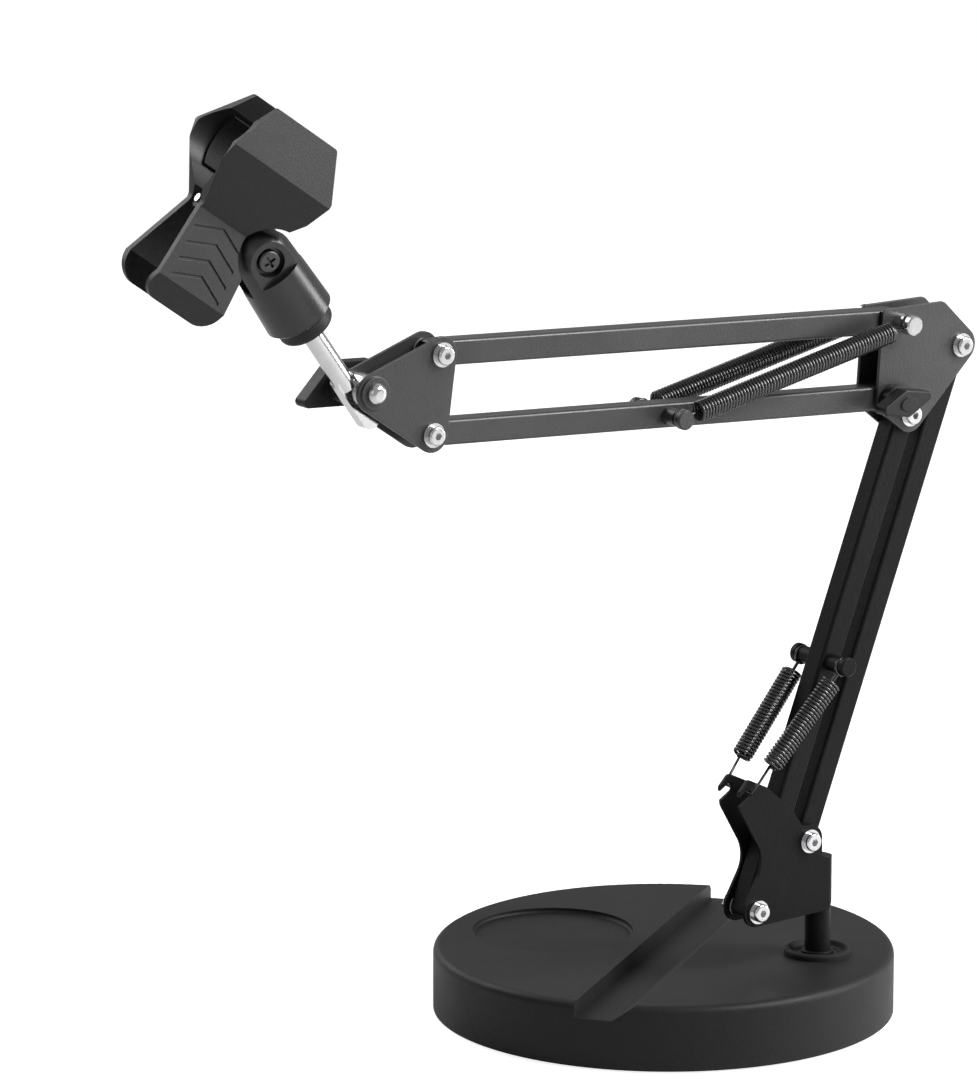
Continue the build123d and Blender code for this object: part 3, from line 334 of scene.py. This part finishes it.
def finish(name, colour, worn, rough, grain, bump, marks_shown=0.3, patch=25, **steady):
    """A Principled material: its colour drifts to the worn one in patches and at marks."""
    material = bpy.data.materials.new(name)
    material.use_nodes = True
    tree = material.node_tree
    shader = tree.nodes["Principled BSDF"]
    surface = tree.nodes.new("ShaderNodeGroup")
    surface.node_tree = skin
    surface.inputs["Grain Scale"].default_value = grain
    surface.inputs["Patch Scale"].default_value = patch
    surface.inputs["Rough Low"].default_value = rough[0]
    surface.inputs["Rough High"].default_value = rough[1]
    wear = tree.nodes.new("ShaderNodeGroup")
    wear.node_tree = marks
    wear.inputs["Amount"].default_value = marks_shown
    mask = tree.nodes.new("ShaderNodeMath")
    mask.operation = "MULTIPLY_ADD"
    mask.use_clamp = True
    mask.inputs[1].default_value = PATCH_PULL
    tree.links.new(surface.outputs["Patch"], mask.inputs[0])
    tree.links.new(wear.outputs["Mask"], mask.inputs[2])
    colours = tree.nodes.new("ShaderNodeMix")
    colours.data_type = "RGBA"
    colours.inputs["A"].default_value = (*colour, 1)
    colours.inputs["B"].default_value = (*worn, 1)
    tree.links.new(mask.outputs[0], colours.inputs["Factor"])
    tree.links.new(colours.outputs["Result"], shader.inputs["Base Color"])
    tree.links.new(surface.outputs["Roughness"], shader.inputs["Roughness"])
    relief = tree.nodes.new("ShaderNodeBump")
    relief.inputs["Strength"].default_value = bump
    relief.inputs["Distance"].default_value = RELIEF_DEPTH
    tree.links.new(surface.outputs["Height"], relief.inputs["Height"])
    tree.links.new(relief.outputs["Normal"], shader.inputs["Normal"])
    for label, value in steady.items():
        shader.inputs[label.replace("_", " ")].default_value = value
    material.diffuse_color = (*colour, 1)
    return material


# %% Black finishes
FINISHES = {
    "base_plastic": finish("base_plastic", (0.012, 0.012, 0.0125), (0.018, 0.018, 0.0185),
                           (0.44, 0.54), 1500, 0.5, 0.25, Specular_IOR_Level=0.2),
    "clip_plastic": finish("clip_plastic", (0.020, 0.020, 0.021), (0.026, 0.026, 0.027),
                           (0.4, 0.5), 1700, 0.35, 0.3, Specular_IOR_Level=0.35),
    "knob_plastic": finish("knob_plastic", (0.008, 0.008, 0.008), (0.014, 0.014, 0.014),
                           (0.4, 0.55), 1400, 0.5, 0.4, Specular_IOR_Level=0.3),
    "barrel_plastic": finish("barrel_plastic", (0.012, 0.012, 0.0125), (0.018, 0.018, 0.0185),
                             (0.24, 0.32), 900, 0.2, 0.25, Specular_IOR_Level=0.6),
    "rubber": finish("rubber", (0.010, 0.010, 0.010), (0.018, 0.018, 0.0175),
                     (0.65, 0.8), 1100, 0.7, 0.3, Specular_IOR_Level=0.2),
    "coated_steel": finish("coated_steel", (0.030, 0.030, 0.031), (0.040, 0.040, 0.041),
                           (0.32, 0.42), 1100, 0.4, 0.35, Specular_IOR_Level=0.5),
    "spring_wire": finish("spring_wire", (0.09, 0.09, 0.092), (0.05, 0.05, 0.05), (0.2, 0.32), 1800, 0.2,
                          0.3, Metallic=0.9),
}
# Painted shade: a darker, flatter copy of the coated steel, so the post, its bracket and the lower arm look
# as if less light reached them.
SHADED_COAT = finish("coated_steel_shaded", (0.005, 0.005, 0.0053), (0.009, 0.009, 0.0093), (0.4, 0.5), 750, 0.55,
                   0.35, Specular_IOR_Level=0.12)
print("black finishes", sorted(FINISHES))

# %% Metals and pale plastic
FINISHES.update({
    "chrome": finish("chrome", (0.66, 0.66, 0.67), (0.5, 0.5, 0.5),
                     (0.14, 0.26), 500, 0.06, 0.35, Metallic=1.0),
    "plated_steel": finish("plated_steel", (0.52, 0.52, 0.53), (0.42, 0.42, 0.43),
                           (0.3, 0.45), 700, 0.25, 0.5, Metallic=1.0),
    "brass": finish("brass", (0.66, 0.48, 0.20), (0.5, 0.35, 0.14),
                    (0.2, 0.35), 600, 0.15, 0.4, Metallic=1.0),
    "cast_weight": finish("cast_weight", (0.09, 0.09, 0.09), (0.14, 0.13, 0.12), (0.6, 0.8), 350, 1.0,
                          0.6, Metallic=0.4),
    "nylon": finish("nylon", (0.70, 0.69, 0.65), (0.62, 0.61, 0.57), (0.4, 0.5), 900, 0.3, 0.2,
                    Subsurface_Weight=0.08),
})
slot_of = {row["node"]: row["material_slot"] for row in frame["record"]["subparts"]}
BLACKENED = finish("blackened_steel", (0.06, 0.06, 0.062), (0.12, 0.12, 0.12), (0.25, 0.4), 700, 0.1, 0.4,
                   Metallic=0.9)
# The bodies whose coated steel gets the darker copy, as painted shade.
SHADED_BODIES = ("post", "lower_right_arm", "lower_left_arm")


def coat(node):
    """A node's finish: the post, its bracket and the lower arm get a darker, flatter copy of the coat, as
    painted shade.
    """
    if node in ("tilt_screw", "tilt_nut"):
        return BLACKENED
    if slot_of[node] == "coated_steel" and frame["nodes"][node]["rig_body"] in SHADED_BODIES:
        return SHADED_COAT
    return FINISHES[slot_of[node]]


for node, piece in frame["nodes"].items():
    piece.data.materials.clear()
    piece.data.materials.append(coat(node))
print("finishes", len(FINISHES), "on", len(slot_of), "nodes")

# %% [markdown]
# ## Softened edges
# Moulded and pressed parts never end in a knife edge: the mould or the powder coat rounds
# it, and that thin round catches a line of light. The measured model has sharp edges there.
# Its mesh is copied, its loose triangles are merged into faces, and the bevel operator rounds
# only the edges where two faces really turn.


# %% A helper that rounds a copy of a measured piece
MERGE_WITHIN = 0.00002
FLAT_WITHIN = math.radians(1)
ROUNDED_TURN = math.radians(28)
SHARP_SHADING = math.radians(35)
LEVEL_WEIGHT = 100


def softened(node, width, segments=2):
    """Copy a node, merge it, round each edge that turns enough, and let it replace the node."""
    bm = bmesh.new()
    bm.from_mesh(frame["nodes"][node].data)
    bmesh.ops.remove_doubles(bm, verts=bm.verts, dist=MERGE_WITHIN)
    bmesh.ops.dissolve_limit(bm, angle_limit=FLAT_WITHIN, verts=bm.verts, edges=bm.edges)
    sharp = [e for e in bm.edges if len(e.link_faces) == 2 and e.calc_face_angle(0) > ROUNDED_TURN]
    bmesh.ops.bevel(bm, geom=sharp, offset=width * MM, affect="EDGES", segments=segments, profile=0.5,
                    material=-1, clamp_overlap=True)
    bmesh.ops.triangulate(bm, faces=[f for f in bm.faces if len(f.verts) > 4])
    for face in bm.faces:
        face.smooth = True
    mesh = bpy.data.meshes.new(node + "_soft")
    bm.to_mesh(mesh)
    bm.free()
    mesh.set_sharp_from_angle(angle=SHARP_SHADING)
    piece = bpy.data.objects.new(node + "_soft", mesh)
    scene.collection.objects.link(piece)
    level = piece.modifiers.new("level_faces", "WEIGHTED_NORMAL")
    level.weight = LEVEL_WEIGHT
    level.keep_sharp = True
    mesh.materials.append(coat(node))
    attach(piece, frame["nodes"][node]["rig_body"])
    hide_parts(node)
    print(piece.name, len(mesh.polygons), "faces")
    return piece


# %% Round the pressed plates, the knobs, the clip and the base
PLATE_ROUND = 0.28
KNOB_ROUND = 0.5
CLIP_ROUND = 0.7
BASE_ROUND = 0.8
for node in ("bracket_front_plate", "bracket_back_plate", "elbow_front_plate", "elbow_back_plate",
             "tip_front_plate", "tip_back_plate"):
    softened(node, PLATE_ROUND)
for node in ("elbow_knob", "tip_wing_knob"):
    softened(node, KNOB_ROUND)
for node in ("clip_front_half", "clip_back_half"):
    softened(node, CLIP_ROUND, 3)
softened("base_shell", BASE_ROUND, 3)

# %% [markdown]
# ## Counterbalance springs
# Each tension spring is one wire: a loop round a pin, a run to the middle of the coil, and
# close turns. The measured model has a plain tube there. A curve with a round bevel
# is the natural way to draw a wire, because one line of points makes the loop and the coil.
# It becomes a mesh that stays where it is drawn.

# %% Wire sizes
WIRE_R = 0.62
COIL_R = 3.6
PIN_LOOP_R = 3.2
LOOP_OFFSET = 0.5
TURN_STEP = 1.42
STEPS_A_TURN = 12
FIRST_TURN_SHARE = 0.25
SPRING_OUT = 12.4
NOTCH_OUT = 8.6
NOTCH_LEAD = 3.2
LOOP_ANGLES = range(35, 361, 15)
WIRE_MERGE = 1e-6


# %% A helper that sweeps a wire
def wire(name, points, radius):
    """A round wire as a closed mesh through the points."""
    curve = bpy.data.curves.new(name, "CURVE")
    curve.dimensions = "3D"
    curve.bevel_depth = radius * MM
    curve.bevel_resolution = 2
    curve.use_fill_caps = True
    line = curve.splines.new("POLY")
    line.points.add(len(points) - 1)
    for point, place in zip(line.points, points):
        point.co = (*at(*place), 1)
    drawn = bpy.data.objects.new(name + "_line", curve)
    mesh = bpy.data.meshes.new_from_object(drawn)
    mesh.name = name
    bpy.data.objects.remove(drawn)
    bpy.data.curves.remove(curve)
    bm = bmesh.new()
    bm.from_mesh(mesh)
    bmesh.ops.remove_doubles(bm, verts=bm.verts, dist=WIRE_MERGE)
    bmesh.ops.recalc_face_normals(bm, faces=bm.faces)
    for face in bm.faces:
        face.smooth = True
    bm.to_mesh(mesh)
    bm.free()
    piece = bpy.data.objects.new(name, mesh)
    scene.collection.objects.link(piece)
    mesh.materials.append(FINISHES["spring_wire"])
    return piece


def turns(start, finish, side):
    """Points of a close-wound coil whose first turn opens from the middle."""
    axis = (finish - start).normalized()
    out = Vector((0, 1, 0)) - axis * axis.y
    out.normalize()
    up = axis.cross(out)
    length = (finish - start).length
    count = round(length / TURN_STEP) * STEPS_A_TURN
    points = []
    for step in range(count + 1):
        angle = 2 * math.pi * step / STEPS_A_TURN * side
        radius = COIL_R * min(1.0, FIRST_TURN_SHARE + step / STEPS_A_TURN)
        reach = out * math.cos(angle) * radius + up * math.sin(angle) * radius
        points.append(start + axis * (length * step / count) + reach)
    return points


# %% Where the springs run
HOOKS = {}
PINS = {}
for name in ("upper", "lower"):
    HOOKS[name] = in_arm(joints[name + "_spring_swing"]["pos_m"])
    low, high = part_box(name + "_spring_pin")
    PINS[name] = in_arm((low + high) / 2)
INSETS = {"upper": (8.5, 8.0), "lower": (12.5, 8.0)}
print({name: [round(v, 1) for v in place] for name, place in {**HOOKS, **PINS}.items()})


# %% Draw and hang the springs
def pin_loop(centre, toward, side):
    """Points of the open loop round a pin, ending on the side of the coil."""
    start = math.atan2(toward.z, toward.x)
    angles = [start + side * math.radians(a) for a in LOOP_ANGLES]
    return [centre + Vector((math.cos(a), 0, math.sin(a))) * PIN_LOOP_R for a in angles]


for name in ("upper", "lower"):
    for side, label in ((-1, "front"), (1, "back")):
        hook_y = SPRING_OUT if name == "upper" else NOTCH_OUT
        hook = Vector((HOOKS[name].x, side * hook_y, HOOKS[name].z))
        pin = Vector((PINS[name].x, side * SPRING_OUT, PINS[name].z))
        unit = (pin - hook).normalized()
        first, last = hook + unit * INSETS[name][0], pin - unit * INSETS[name][1]
        coil = turns(first, last, side)
        if name == "upper":
            lead = pin_loop(hook + unit * LOOP_OFFSET, unit, side)
        else:
            lead = [hook - Vector((0, side * NOTCH_LEAD, 0)), hook]
        piece = wire(f"{name}_spring_{label}", lead + coil, WIRE_R)
        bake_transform(piece)
        if side < 0:
            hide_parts(f"{name}_springs", f"{name}_spring_end_turns")
        print(piece.name, len(piece.data.polygons), "faces")

# %% [markdown]
# ## The end

# %% The end
print("scene done")
